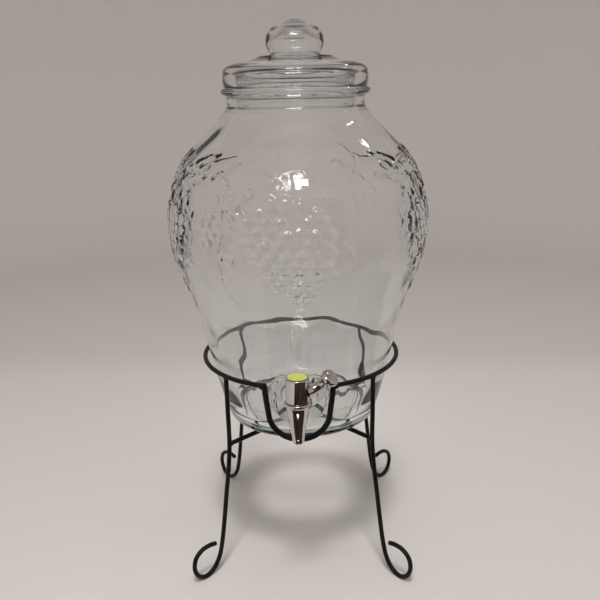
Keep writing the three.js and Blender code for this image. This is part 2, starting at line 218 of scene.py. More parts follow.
def piece(name, mesh, body, material, stands_for=(), sharp=35):
    """An object that rides on a CAD body and stands for a CAD node."""
    if isinstance(mesh, tuple):
        mesh = mesh_of(mesh)
    mesh.name = name
    mesh.materials.clear()
    mesh.materials.append(material)
    mesh.shade_smooth()
    if sharp:
        mesh.set_sharp_from_angle(angle=math.radians(sharp))
    ob = bpy.data.objects.new(name, mesh)
    bpy.context.scene.collection.objects.link(ob)
    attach(ob, body)
    if stands_for:
        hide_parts(*stands_for)
    return ob


# ---------------------------------------------------------------- materials
def finish_of(name, **values):
    """A material whose shader has these values on its sockets, which are even all over the surface."""
    m = bpy.data.materials.new(name)
    m.use_nodes = True
    shader = m.node_tree.nodes["Principled BSDF"]
    for socket, value in values.items():
        shader.inputs[socket.replace("_", " ")].default_value = value
    return m


def noise_of(m, scale, detail):
    """Noise in the object's own space, with lumps about 1 / scale metres wide."""
    nodes, links = m.node_tree.nodes, m.node_tree.links
    where = nodes.new("ShaderNodeTexCoord")
    noise = nodes.new("ShaderNodeTexNoise")
    noise.inputs["Scale"].default_value = scale
    noise.inputs["Detail"].default_value = detail
    links.new(where.outputs["Object"], noise.inputs["Vector"])
    return noise.outputs["Fac"]


def bumped(m, *layers):
    """Small relief from layers of (scale, detail, distance in mm)."""
    nodes, links = m.node_tree.nodes, m.node_tree.links
    before = None
    for scale, detail, distance in layers:
        bump = nodes.new("ShaderNodeBump")
        bump.inputs["Strength"].default_value = 1.0
        bump.inputs["Distance"].default_value = distance * MM
        links.new(noise_of(m, scale, detail), bump.inputs["Height"])
        if before:
            links.new(before, bump.inputs["Normal"])
        before = bump.outputs["Normal"]
    links.new(before, nodes["Principled BSDF"].inputs["Normal"])


def varied(m, socket, scale, low, high):
    """A colour or a number that wanders between low and high over the surface."""
    nodes, links = m.node_tree.nodes, m.node_tree.links
    noise = noise_of(m, scale, 3.0)
    if isinstance(low, tuple):
        ramp = nodes.new("ShaderNodeValToRGB")
        for stop, position, colour in zip(ramp.color_ramp.elements, (0.35, 0.65), (low, high)):
            stop.position = position
            stop.color = (*colour, 1)
        links.new(noise, ramp.inputs["Fac"])
        links.new(ramp.outputs["Color"], nodes["Principled BSDF"].inputs[socket])
    else:
        span = nodes.new("ShaderNodeMapRange")
        for key, value in (("From Min", 0.3), ("From Max", 0.7), ("To Min", low), ("To Max", high)):
            span.inputs[key].default_value = value
        links.new(noise, span.inputs["Value"])
        links.new(span.outputs["Result"], nodes["Principled BSDF"].inputs[socket])


def absorbing(m, colour, density):
    """Tints the light that passes through, more where the glass is thick."""
    nodes, links = m.node_tree.nodes, m.node_tree.links
    volume = nodes.new("ShaderNodeVolumeAbsorption")
    volume.inputs["Color"].default_value = (*colour, 1)
    volume.inputs["Density"].default_value = density
    links.new(volume.outputs["Volume"], nodes["Material Output"].inputs["Volume"])


glass = finish_of(
    "clear_pressed_glass", Base_Color=(1, 1, 1, 1), Roughness=0.0, IOR=1.5, Transmission_Weight=1.0
)
bumped(glass, (38, 1.0, 0.10), (150, 1.0, 0.012))
absorbing(glass, (0.72, 0.90, 0.93), 9.0)

wire_paint = finish_of("satin_black_paint", Specular_IOR_Level=0.16)
varied(wire_paint, "Base Color", 90, (0.003, 0.0026, 0.0022), (0.008, 0.0068, 0.0056))
varied(wire_paint, "Roughness", 220, 0.32, 0.46)
bumped(wire_paint, (600, 2.0, 0.04), (2600, 3.0, 0.03))

chrome = finish_of("bright_chrome", Base_Color=(0.62, 0.59, 0.56, 1), Metallic=1.0)
varied(chrome, "Roughness", 300, 0.03, 0.08)
bumped(chrome, (260, 1.0, 0.006), (1500, 2.0, 0.0015))

silicone = finish_of(
    "translucent_silicone",
    Base_Color=(0.86, 0.87, 0.84, 1), Roughness=0.42, IOR=1.41, Transmission_Weight=0.6,
)
bumped(silicone, (900, 2.0, 0.02))

plastic = finish_of("white_moulded_plastic", Specular_IOR_Level=0.5)
varied(plastic, "Base Color", 60, (0.76, 0.75, 0.71), (0.84, 0.83, 0.80))
varied(plastic, "Roughness", 400, 0.35, 0.5)
bumped(plastic, (1400, 2.0, 0.015))

steel = finish_of("plain_steel", Metallic=1.0)
varied(steel, "Base Color", 500, (0.42, 0.41, 0.40), (0.58, 0.57, 0.55))
varied(steel, "Roughness", 900, 0.22, 0.4)
bumped(steel, (2500, 3.0, 0.01))

film = finish_of("yellow_green_film", Specular_IOR_Level=0.5, Coat_Weight=0.3, Coat_Roughness=0.2)
varied(film, "Base Color", 350, (0.37, 0.40, 0.08), (0.45, 0.47, 0.11))
varied(film, "Roughness", 700, 0.35, 0.5)
bumped(film, (900, 2.0, 0.01))


# ---------------------------------------------------------------- the stand
RING_R, RING_Z = 109.5, 228.0
WIRE_R, BOW_R = 2.5, 3.0
WIRE_SIDES = 24
WIRE_END = [(0.0, 0.72), (0.06, 0.88), (0.18, 0.97), (0.4, 1.0)]  # inset and thickness, in radii of the wire
WIRE_GAP = 0.3  # between wires that a weld joins
BEAD_SINK = 0.2  # how far a bead's middle lies inside the wire's surface
BOW_HALF, BOW_ARC_R, BOW_ARC_Z = 35.6, 32.0, 199.7
BOW_Y = -math.sqrt(RING_R**2 - BOW_HALF**2)
LEG_LINE = [
    (109.5, 225.2), (109.5, 190), (109.5, 150), (112.2, 122), (117, 92), (121.6, 62), (126.6, 34),
    (131.8, 17), (140, 6.2), (151, 1.9), (160.6, 7.2), (165.2, 19), (162.6, 30.4), (154, 37), (143.5, 38),
    (135.4, 36.4),
]
LEGS = {"front_left": 225, "front_right": 315, "back_left": 135, "back_right": 45}  # degrees round from +X
BARS = {"upper": (135, 154.1), "lower": (45, 148.8)}  # each bar's direction in degrees, and its height


def ring_path():
    """Round from one side of the opening for the tap to the other."""
    gap = math.asin((BOW_HALF + BOW_R + WIRE_GAP) / RING_R)
    turns = np.linspace(-math.pi / 2 + gap, 1.5 * math.pi - gap, 260)
    return np.stack([RING_R * np.cos(turns), RING_R * np.sin(turns), np.full(len(turns), RING_Z)], 1)


def bow_path():
    """Down from the ring, round under the tap and up again."""
    points = [(-BOW_HALF, RING_Z + WIRE_R), ((-BOW_HALF - BOW_ARC_R) / 2, (RING_Z + BOW_ARC_Z) / 2)]
    for turn in np.linspace(math.pi, 2 * math.pi, 11):
        points.append((BOW_ARC_R * math.cos(turn), BOW_ARC_Z + BOW_ARC_R * math.sin(turn)))
    points += [((BOW_HALF + BOW_ARC_R) / 2, (RING_Z + BOW_ARC_Z) / 2), (BOW_HALF, RING_Z + WIRE_R)]
    line = smooth_line(points, 1.6)
    return np.stack([line[:, 0], np.full(len(line), BOW_Y), line[:, 1]], 1)


def leg_path(degrees):
    """Down a leg and round its scrolled foot, on the side of the stand that lies in this direction."""
    line = smooth_line(LEG_LINE, 1.9)
    turn = math.radians(degrees)
    return np.stack([line[:, 0] * math.cos(turn), line[:, 0] * math.sin(turn), line[:, 1]], 1)


def bar_path(degrees, height):
    """Straight across the stand, from leg to leg."""
    turn = math.radians(degrees)
    reach = RING_R - WIRE_R - WIRE_GAP
    out = np.linspace(-reach, reach, 60)
    return np.stack([out * math.cos(turn), out * math.sin(turn), np.full(len(out), height)], 1)


def weld(centre, size, seed):
    """A small lumpy bead of weld metal, drawn out along the joint."""
    work = bmesh.new()
    bmesh.ops.create_icosphere(work, subdivisions=4, radius=1.0)
    chance = np.random.default_rng(seed)
    waves = [(chance.normal(size=3) * 2.2, chance.uniform(0, 6.3)) for _ in range(7)]
    points = []
    for v in work.verts:
        lump = 1 + 0.035 * sum(math.sin(float(w @ np.array(v.co)) + p) for w, p in waves)
        points.append(tuple(np.array(v.co) * lump * np.array(size) + np.array(centre)))
    faces = [tuple(v.index for v in f.verts) for f in work.faces]
    work.free()
    return points, faces


def stand_beads():
    """The welds: ring to leg, leg to bar, ring to bow, and bar to bar."""
    beads = []
    near = RING_R - WIRE_R - BEAD_SINK
    for i, degrees in enumerate(LEGS.values()):
        turn = math.radians(degrees)
        c, s = math.cos(turn), math.sin(turn)
        beads.append(weld((RING_R * c, RING_R * s, RING_Z - WIRE_R - BEAD_SINK), (3.1, 3.1, 1.9), i))
        height = next(z for direction, z in BARS.values() if direction % 180 == degrees % 180)
        beads.append(weld((near * c, near * s, height), (2.6, 2.6, 3.0), 10 + i))
    for i, side in enumerate((-1, 1)):
        place = (side * (BOW_HALF + BOW_R - BEAD_SINK), BOW_Y + 0.3, RING_Z - BEAD_SINK)
        beads.append(weld(place, (2.6, 3.1, 3.0), 20 + i))
    crossing = sum(z for _, z in BARS.values()) / 2
    beads.append(weld((0, 0, crossing), (3.0, 3.0, 1.6), 30))
    return beads


def wire_piece(name, path, radius, node):
    """A painted wire that stands for a CAD node, with no part of it under the floor."""
    points, faces = tube(path, radius)
    points = [(x, y, max(z, 0.0)) for x, y, z in points]
    return piece(name, (points, faces), "stand", wire_paint, [node])


wire_piece("stand_ring", ring_path(), WIRE_R, "ring_wire")
wire_piece("stand_bow", bow_path(), BOW_R, "spigot_bow")
for name, degrees in LEGS.items():
    wire_piece(f"stand_leg_{name}", leg_path(degrees), WIRE_R, f"leg_{name}")
for name, (degrees, height) in BARS.items():
    bar = wire_piece(f"stand_bar_{name}", bar_path(degrees, height), WIRE_R, f"cross_bar_{name}")
    bar.visible_shadow = False  # the light that the real jar gathers washes out the bars' shadow
piece("stand_welds", joined(stand_beads()), "stand", wire_paint, sharp=0)


# ---------------------------------------------------------------- the jar
BASE_Z, TOP_Z = 156.9, 518.7
WALL, HEEL_WALL, FLOOR_Z = 4.6, 9.5, 165.9
THICKER_BELOW, THICKEST_BELOW = 350.0, 180.0
BASE_COLUMNS, WALL_COLUMNS, PATTERN_COLUMNS = 128, 256, 512  # mesh points round the jar
TAP_Z, TAP_HOLE_R = 212.0, 8.6  # of the tap's stem, and of its hole in the glass
PAD_FACE_Y, PAD_R, PAD_EDGE = -103.5, 30.0, 3.0
INNER_FACE_Y, INNER_PAD_R, INNER_PAD_EDGE = -85.0, 18.5, 1.6
BODY_LINE = [  # radius and height up the outside, from the heel to the neck
    (84.2, 160.3), (88.6, 172), (94.6, 195), (101.2, 223), (106.6, 249), (111.6, 271), (116.4, 290),
    (122, 310), (129, 330), (135.2, 352), (138.4, 377), (136.8, 400), (131.4, 424), (122.6, 443.5),
    (108.6, 460.5), (93, 476), (81.6, 487), (74.6, 497),
]
RELIEF_LOW, RELIEF_HIGH, RELIEF_MIDDLE = 300.0, 462.0, 372.0
RELIEF_FADE = 4.0  # height over which the pattern sinks into the plain glass above and below it
SIDE_MOTIF = 82.0  # degrees from the front to the motif on each side
BACK_STRENGTH = 0.5  # the back's motif is the front's, at this share of its height
VINE_HALF, VINE_HEIGHT = 2.6, 1.8
body = smooth_line(BODY_LINE, 0.4)
body_along = np.concatenate([[0], np.cumsum(np.linalg.norm(np.diff(body, axis=0), axis=1))])


def wall_radius(z):
    """The jar's outer radius at a height."""
    return np.interp(z, body[:, 1], body[:, 0])


def wall_at(z):
    """Thickness of the glass at a height: it thickens towards the heel."""
    share = np.clip((THICKER_BELOW - z) / (THICKER_BELOW - THICKEST_BELOW), 0, 1)
    return WALL + (HEEL_WALL - WALL) * share


def along_of(z):
    """Distance up the glass from its heel, at a height."""
    return np.interp(z, body[:, 1], body_along)


def smoothstep(x, low, high):
    """0 below low, 1 above high, and a soft step between."""
    t = np.clip((x - low) / (high - low), 0, 1)
    return t * t * (3 - 2 * t)


def near_line(s, t, line):
    """Distance to a line of points, and how far along it the nearest place is, from 0 to 1."""
    best = np.full(s.shape, 1e9)
    share = np.zeros(s.shape)
    line = np.array(line, float)
    for i, (a, b) in enumerate(zip(line, line[1:])):
        d = b - a
        u = np.clip(((s - a[0]) * d[0] + (t - a[1]) * d[1]) / (d @ d), 0, 1)
        away = np.hypot(s - a[0] - u * d[0], t - a[1] - u * d[1])
        closer = away < best
        best = np.where(closer, away, best)
        share = np.where(closer, (i + u) / (len(line) - 1), share)
    return best, share


def cord_relief(s, t, line, half, height):
    """A round raised line that thins towards its far end."""
    away, share = near_line(s, t, line)
    width = half * (1 - 0.55 * share)
    return height * (1 - 0.5 * share) * np.sqrt(np.clip(1 - (away / width) ** 2, 0, 1))


def leaf_relief(s, t, centre, size, turn, lobes, edging=1.0, ribbing=1.2):
    """A flat lobed leaf with a raised edge and ribs that run out to its lobes.

    A lobe is its direction in radians, then its length and width as shares of the leaf's size."""
    x, y = s - centre[0], t - centre[1]
    angle = np.arctan2(y, x) - turn
    edge = np.full(s.shape, 0.34)  # the leaf's heart, which the lobes stand out from
    for at, length, width in lobes:
        off = np.angle(np.exp(1j * (angle - at)))
        edge = np.maximum(edge, length * np.exp(-((off / width) ** 2)))
    edge = edge * size * (1 + 0.035 * np.sin(17 * angle + 1.3))  # faintly toothed
    inside = edge - np.hypot(x, y)
    rim = np.exp(-(((inside - 2.2) / 1.7) ** 2)) * 0.9
    slab = smoothstep(inside, -0.8, 1.8) * 0.9
    ribs = np.zeros(s.shape)
    for at, length, _ in lobes:
        run = size * length * 0.86
        tip = (centre[0] + run * math.cos(at + turn), centre[1] + run * math.sin(at + turn))
        ribs = np.maximum(ribs, cord_relief(s, t, [centre, tip], 2.2, ribbing))
    return (slab + rim) * edging + ribs * (inside > 0)


def spiral(centre, start_r, turns, start):
    """A line that winds in to 0.18 of its first radius."""
    share = np.linspace(0, 1, 40)
    r = start_r * (1 - (1 - 0.18) * share)
    a = start + turns * 2 * math.pi * share
    return [(centre[0] + x, centre[1] + y) for x, y in zip(r * np.cos(a), r * np.sin(a))]


def grapes_relief(s, t, rows, radius, height, seed):
    """Round lumps packed in rows of (height, places), none quite in line, each a little different in size."""
    chance = np.random.default_rng(seed)
    h = np.zeros(s.shape)
    for level, places in rows:
        for place in places:
            x, y = place + chance.uniform(-1.6, 1.6), level + chance.uniform(-1.4, 1.4)
            r = radius * chance.uniform(0.88, 1.1)
            tall = height * chance.uniform(0.75, 1.0)
            away = np.hypot(s - x, t - y)
            h = np.maximum(h, tall * np.clip(1 - (away / r) ** 2, 0, 1) ** 0.55)
    return h


FRONT_GRAPES = [
    (-53, [5]), (-44.5, [-3.5, 10.5]), (-33, [-14.5, 0.5, 14.5]), (-23, [-22, -8, 7, 22]),
    (-12.5, [-30, -15, -1, 14, 28]), (-2.5, [-37, -23, -8, 6, 20, 32]), (7.5, [-44, -30, -15, -1, 13, 27]),
    (17.5, [-38, -23, -9, 5, 19, 33]), (27.5, [-44, -30, -16, -2, 12, 26]), (37.5, [-35, -21, -7, 7, 21]),
    (46, [-24, -10, 4]),
]
SMALL_GRAPES = [
    (33, [-92, -82, -72]), (24, [-96, -87, -77, -67]), (15, [-92, -82]), (6, [-97, -88]), (-3, [-92]),
]
SIDE_GRAPES = [
    (-64 + 9.6 * i, list(np.arange(-reach, reach + 1, 11.6)))
    for i, reach in enumerate((0, 12, 24, 35, 44, 52, 58, 63, 66, 66, 58))
]
LEAF_BIG = [
    (0.35, 0.96, 0.34), (2.75, 1.0, 0.34), (-0.75, 0.86, 0.36), (3.95, 0.8, 0.36), (1.55, 0.74, 0.36),
    (4.85, 0.6, 0.3),
]
LEAF_SMALL = [(1.9, 1.0, 0.42), (0.45, 0.95, 0.4), (3.3, 0.95, 0.4), (-0.9, 0.75, 0.4), (4.5, 0.8, 0.4)]


# Strands are lines, given with their half width and their height.
FRONT_STRANDS = [
    ([(-5, 72), (-2, 60), (-4, 46)], 2.4, 1.9),
    ([(-52, 30), (-70, 18), (-77, -4), (-74, -28), (-64, -48), (-52, -60)], 2.5, 2.2),
    ([(-56, 16), (-48, 9), (-42, 2)], 2.4, 2.0),
    ([(-72, 30), (-64, 26), (-58, 19)], 2.3, 2.0),
    ([(-60, 4), (-53, -2), (-50, -12)], 2.3, 2.0),
    ([(-66, 62), (-74, 54), (-76, 42)], 2.4, 2.0),
    ([(34, 6), (38, -2), (33, -8)], 2.4, 2.2),
    ([(27, -20), (36, -19), (40, -26)], 2.4, 2.2),
    ([(46, 8), (54, 0), (56, -12), (50, -20)], 2.2, 1.6),
    ([(-84, 68), (-74, 75), (-64, 77), (-56, 83), (-46, 85), (-36, 89)], 2.4, 2.4),
]
SIDE_STRANDS = [
    ([(-84, 96), (-74, 86), (-66, 70), (-60, 52), (-58, 38)], 2.3, 2.2),
    ([(-78, 92), (-66, 80), (-56, 62), (-52, 44)], 2.0, 2.0),
    ([(-70, 92), (-54, 82), (-44, 66), (-42, 50)], 2.2, 2.0),
    ([(-80, 78), (-77, 73), (-71, 71)], 3.0, 2.4),
    ([(-84, 34), (-80, 22), (-84, 10), (-80, 0)], 1.7, 1.4),
    ([(-74, 26), (-72, 12), (-76, 4)], 1.6, 1.4),
]


def strands_relief(s, t, strands):
    """The height of each strand on its own."""
    return [cord_relief(s, t, smooth_line(line, 3), half, height) for line, half, height in strands]


def front_relief(s, t):
    """Height of the raised pattern at the front and the back: a bunch of grapes, two leaves and tendrils.

    s runs round to the right from the motif's middle, and t up the glass from its middle, both in mm."""
    return np.maximum.reduce([
        grapes_relief(s, t, FRONT_GRAPES, 6.9, 3.1, seed=7),
        grapes_relief(s, t, SMALL_GRAPES, 4.9, 2.4, seed=5),
        leaf_relief(s, t, (-14, 71), 39, 0.0, LEAF_BIG, edging=0.3, ribbing=1.6),
        leaf_relief(s, t, (-60, 44), 29, 0.1, LEAF_SMALL, edging=1.7, ribbing=2.0),
        cord_relief(s, t, spiral((-66, -8), 7.5, 1.4, 2.6), 2.0, 2.2),
        *strands_relief(s, t, FRONT_STRANDS),
    ])


def side_relief(s, t):
    """The pattern at each side: a wide bunch of grapes under two leaves. s runs towards the back."""
    return np.maximum.reduce([
        grapes_relief(s, t, SIDE_GRAPES, 6.5, 3.1, seed=11),
        leaf_relief(s, t, (-14, 70), 46, 0.35, LEAF_BIG),
        leaf_relief(s, t, (-62, 60), 26, 0.9, LEAF_SMALL) * 0.9,
        *strands_relief(s, t, SIDE_STRANDS),
    ])


def relief(angles, radius, t):
    """Height of the whole pattern at places round the jar: four motifs, and a vine round each side."""
    h = np.zeros(angles.shape)
    for middle, strength in ((-90, 1.0), (90, BACK_STRENGTH)):
        off = np.angle(np.exp(1j * (angles - math.radians(middle))))
        h = np.maximum(h, front_relief(off * radius, t) * strength)
    for side in (1, -1):
        off = np.angle(np.exp(1j * (angles - math.radians(-90 + side * SIDE_MOTIF))))
        h = np.maximum(h, side_relief(side * off * radius, t))
    vine_t = 70 + 5 * np.sin(5 * angles + 0.6) + 3 * np.sin(9 * angles)
    vine = VINE_HEIGHT * np.sqrt(np.clip(1 - ((t - vine_t) / VINE_HALF) ** 2, 0, 1))
    beside = np.abs(np.sin(angles)) < 0.8  # away from the front and the back
    return np.maximum(h, vine * beside)


def jar_outside():
    """Rows of (radius, height, columns) up the outside, from the middle of the underside to the mouth."""
    heel = smooth_line([
        (0, 161.0), (20, 160.9), (34, 160.8), (44, 160.8), (56, 160.8), (66, 160.4), (71.5, 159.1),
        (75, BASE_Z + 0.3), (77, BASE_Z), (79.5, BASE_Z + 0.3), (84.2, 160.3), (86.2, 165.6),
    ], 2.4)
    heel[0, 0] = 0
    neck = rounded([
        (76.2, 494.4), (72.6, 499.5), (72, 504), (72, 510.5), (76.4, 512.5), (78.2, 515.5), (76.6, TOP_Z),
        (67, TOP_Z), (65.5, 517.2), (65.5, 503), (65.5, 500),
    ], 1.4, 5)
    low = body[(body[:, 1] > 166.5) & (body[:, 1] < RELIEF_LOW)]
    mid = body[(body[:, 1] >= RELIEF_LOW) & (body[:, 1] <= RELIEF_HIGH)]
    top = body[(body[:, 1] > RELIEF_HIGH) & (body[:, 1] < 493.6)]
    rows = [(r, z, BASE_COLUMNS) for r, z in heel]
    rows += [(r, z, WALL_COLUMNS) for r, z in resample(low, 3.3)]
    rows += [(r, z, PATTERN_COLUMNS) for r, z in resample(mid, 1.72)]
    rows += [(r, z, WALL_COLUMNS) for r, z in resample(top, 2.4)]
    rows += [(r, z, WALL_COLUMNS) for r, z in neck]
    return rows


def jar_inside():
    """Rows down the inside, from below the mouth to the middle of the floor."""
    slope = np.gradient(body, axis=0)
    slope /= np.linalg.norm(slope, axis=1)[:, None]
    wall = wall_at(body[:, 1])
    inner = np.stack([body[:, 0] - wall * slope[:, 1], body[:, 1] + wall * slope[:, 0]], 1)
    inner = inner[(inner[:, 1] > FLOOR_Z + 8) & (inner[:, 1] < 496)][::-1]
    inner = resample(inner, 5.0)
    end = inner[-1]
    corner = [end, (end[0] - 3.2, FLOOR_Z + 3.0), (end[0] - 9, FLOOR_Z + 0.5)]
    floor = smooth_line([*corner, (60, FLOOR_Z), (0, FLOOR_Z)], 4.0)
    floor[-1] = (0, FLOOR_Z)
    return [(r, z, BASE_COLUMNS) for r, z in [*inner, *floor[1:]]]


def jar_mesh():
    """The jar without its tap seat: the pattern outside, and faint waves inside."""
    chance = np.random.default_rng(3)
    waves = [(chance.integers(3, 17), chance.uniform(-0.13, 0.13), chance.uniform(0, 6.3)) for _ in range(12)]
    points, rows = [], []
    outside, inside = jar_outside(), jar_inside()
    middle = along_of(RELIEF_MIDDLE)
    for k, (r, z, columns) in enumerate(outside + inside):
        start = sum(len(p) for p in points)
        if r < 1e-6:
            rows.append([start] * columns)
            points.append([(0.0, 0.0, z)])
            continue
        a = np.arange(columns) * 2 * math.pi / columns
        radius, height = np.full(columns, float(r)), np.full(columns, float(z))
        if columns == PATTERN_COLUMNS:
            h = relief(a, r, np.full(columns, along_of(z) - middle))
            h *= smoothstep(z, RELIEF_LOW, RELIEF_LOW + RELIEF_FADE)
            h *= 1 - smoothstep(z, RELIEF_HIGH - RELIEF_FADE, RELIEF_HIGH)
            lean = (wall_radius(z + 1) - wall_radius(z - 1)) / 2
            radius = radius + h / math.hypot(1, lean)
            height = height - h * lean / math.hypot(1, lean)
        if k >= len(outside) and z > FLOOR_Z + 6:
            swell = smoothstep(z, FLOOR_Z + 6, 230) * (1 - smoothstep(z, 470, 496))
            radius = radius + 0.09 * swell * sum(np.sin(n * a + w * z + p) for n, w, p in waves)
            # The wall stays thin at the left and the right, where the thick glass would look too dark.
            radius = radius + (wall_at(z) - WALL) * np.cos(a) ** 2 * smoothstep(z, FLOOR_Z + 6, 215)
        rows.append([start + i for i in range(columns)])
        points.append(np.stack([radius * np.cos(a), radius * np.sin(a), height], 1))
    return np.vstack(points), strips(rows)


def along_y(shape):
    """Lays a shape that was turned round Z along +Y, at the height of the tap's stem."""
    return [(x, z, TAP_Z + y) for x, y, z in shape[0]], shape[1]


def shape_tap_seat(mesh):
    """Refines the glass round the tap's hole, and draws it out to a flat pad on each side of the wall."""
    work = bmesh.new()
    work.from_mesh(mesh)
    for reach, cuts, is_outer in ((38, 3, True), (26, 5, False)):  # how far out, how fine, which face
        edges = set()
        for f in work.faces:
            c = (f.calc_center_median() - AXIS) / MM
            outer = math.hypot(c.x, c.y) > wall_radius(c.z) - wall_at(c.z) / 2
            if c.y < 0 and max(abs(c.x), abs(c.z - TAP_Z)) < reach and outer == is_outer:
                edges.update(f.edges)
        bmesh.ops.subdivide_edges(work, edges=list(edges), cuts=cuts, use_grid_fill=True)
    for v in work.verts:
        p = (v.co - AXIS) / MM
        away = math.hypot(p.x, p.z - TAP_Z)
        if p.y > 0 or away > 44:  # the pad's soft edge ends well inside this
            continue
        wall = wall_radius(p.z)
        slope = math.atan((wall_radius(p.z + 2) - wall_radius(p.z - 2)) / 4)
        if math.hypot(p.x, p.y) > wall - wall_at(p.z) / 2:
            radius, face, seat, soft = wall, PAD_FACE_Y, PAD_R, PAD_EDGE
        else:
            radius = wall - wall_at(p.z) / math.cos(slope)
            face, seat, soft = INNER_FACE_Y, INNER_PAD_R, INNER_PAD_EDGE
        y = -math.sqrt(max(radius**2 - p.x**2, 0))
        pull = 1 - float(smoothstep(away, seat - soft, seat + soft))
        v.co.y = (y * (1 - pull) + face * pull) * MM + AXIS.y
    work.to_mesh(mesh)
    work.free()
    middle, reach = (PAD_FACE_Y + INNER_FACE_Y) / 2, 16  # well past the glass on both sides
    hole = along_y(cylinder(TAP_HOLE_R, middle - reach, middle + reach, 64))
    return combined(mesh, [("DIFFERENCE", mesh_of(hole))])


jar_shape = shape_tap_seat(mesh_of(jar_mesh()))
jar = piece("jar_glass", jar_shape, "jar", glass, ["glass_jar"], sharp=50)
jar.visible_shadow = False  # clear glass throws hardly any; heel_shade stands for what it does throw


# ---------------------------------------------------------------- the lid
# One outline in three stretches: the knob's hollow and the inside, the skirt, groove and rim, the outside.
SKIRT_LINE = [
    (58.6, 517), (58.8, 499.5), (59.4, 498), (61, 498), (61.6, 499.5), (62, 517), (62.2, 530.5),
    (63.6, 535.4), (66.6, 537.2), (69.8, 535.8), (71.8, 531), (72.2, 524), (72.5, 520.2), (73, 519),
    (74, 519), (75.2, 522.5), (75.6, 530), (74.6, 536.6), (71.4, 540.4), (64, 542.6), (46, 546.2),
]
KNOB_LINE = [
    (46, 546.2), (41, 547.6), (38.4, 549.4), (29, 550.6), (25.4, 551.8), (26.8, 554.4), (28.9, 558.4),
    (29.8, 563), (29.2, 568.6), (27, 573.6), (24, 577), (19.6, 578.8), (14.2, 579.6), (11.6, 581.4),
    (9, 583.6), (5, 584.9), (0, 585.3),
]
HOLLOW_LINE = [
    (0, 576.4), (8, 575.8), (15, 573.6), (20.8, 569.6), (24.4, 563.5), (24.2, 558.4), (22.2, 554.4),
    (20.8, 551.6), (20.4, 548.8), (22, 546.2), (26, 544.8), (34, 544), (46, 541.8), (54, 540.2),
    (58, 536.6), (58.6, 531), (58.6, 517),
]
lid_outline = np.vstack([
    smooth_line(HOLLOW_LINE, 1.2)[:-1], rounded(SKIRT_LINE, 2.2, 6)[:-1], smooth_line(KNOB_LINE, 0.9)])
lid_outline[[0, -1], 0] = 0
lid = piece("lid_glass", turned(lid_outline, 256), "lid", glass, ["glass_lid"], sharp=60)
lid.visible_shadow = False


# ---------------------------------------------------------------- the tap
def threaded(radius, depth, pitch, start, end, columns=48):
    """A turned bar along Z with a screw thread, its ends tapered."""
    taper = 1.5
    heights = np.arange(start, end + 1e-6, pitch / 8)
    points, rows = [(0, 0, start)], [[0] * columns]
    for z in heights:
        rows.append([])
        for i in range(columns):
            phase = (z / pitch + i / columns) % 1.0
            cut = depth * (1 - abs(2 * phase - 1) ** 0.8) * float(smoothstep(z, start, start + taper))
            cut = depth - (depth - cut) * float(1 - smoothstep(z, end - taper, end))
            turn = 2 * math.pi * i / columns
            rows[-1].append(len(points))
            points.append(((radius - cut) * math.cos(turn), (radius - cut) * math.sin(turn), z))
    rows.append([len(points)] * columns)
    points.append((0, 0, end))
    return points, strips(rows)


def at_tap(shape):
    """Moves a shape from the jar's upright axis to the tap's."""
    return [(x, y + TAP_Y, z) for x, y, z in shape[0]], shape[1]


FLANGE_Y = PAD_FACE_Y - 3.1
STEM_R, STEM_END_Y, STEM_BORE_R = 7.9, -74.0, 4.2
PLUG_BORE_R, PLUG_BORE_Z = 7.2, 203.0
SPOUT_Z, SPOUT_BORE_R, TAP_TOP_Z = 186.0, 4.6, 230.0
housing = rounded([
    (0, SPOUT_Z), (5.3, SPOUT_Z), (5.9, 187), (6.1, 191), (6.9, 197), (8.2, 205), (9.2, 210.5), (10.2, 216.4),
    (11.2, 222.4), (11.9, 226), (12.9, 227), (13.2, 228.2), (12.9, 229.4), (12.2, TAP_TOP_Z), (0, TAP_TOP_Z),
], 0.9, 4)
neck_bar = rounded([
    (0, TAP_Y + 2), (8.6, TAP_Y + 2), (8.6, FLANGE_Y - 5), (13.5, FLANGE_Y - 3.4), (13.5, FLANGE_Y),
    (7.6, FLANGE_Y), (7.6, -100), (0, -100),
], 0.7, 4)
stem = threaded(STEM_R, 0.55, 2.0, -104, STEM_END_Y)
tap_mesh = combined(
    mesh_of(at_tap(turned(housing, 96))),
    [
        ("UNION", mesh_of(along_y(turned(neck_bar, 72)))),
        ("UNION", mesh_of(along_y(stem))),
        ("DIFFERENCE", mesh_of(at_tap(cylinder(PLUG_BORE_R, PLUG_BORE_Z, TAP_TOP_Z + 1)))),
        ("DIFFERENCE", mesh_of(at_tap(cylinder(SPOUT_BORE_R, SPOUT_Z - 1, PLUG_BORE_Z + 1)))),
        ("DIFFERENCE", mesh_of(along_y(cylinder(STEM_BORE_R, TAP_Y, STEM_END_Y + 1)))),
    ],
)
piece("tap_body", tap_mesh, "jar", chrome, ["spigot_body"], sharp=32)

WASHER_HOLE_R, WASHER_R, WASHER_THICK = 8.3, 15.0, 2.5
for name, back in (("outer", PAD_FACE_Y - 2.8), ("inner", INNER_FACE_Y + 0.3)):
    front = back + WASHER_THICK
    section = rounded([
        (WASHER_HOLE_R, back + 1.2), (WASHER_HOLE_R, back), (WASHER_R, back), (WASHER_R, front),
        (WASHER_HOLE_R, front), (WASHER_HOLE_R, back + 1.25),
    ], 0.7, 4)
    ring = along_y(turned(section, 72, closed=True))
    piece(f"tap_{name}_washer", ring, "jar", silicone, [f"{name}_washer"])

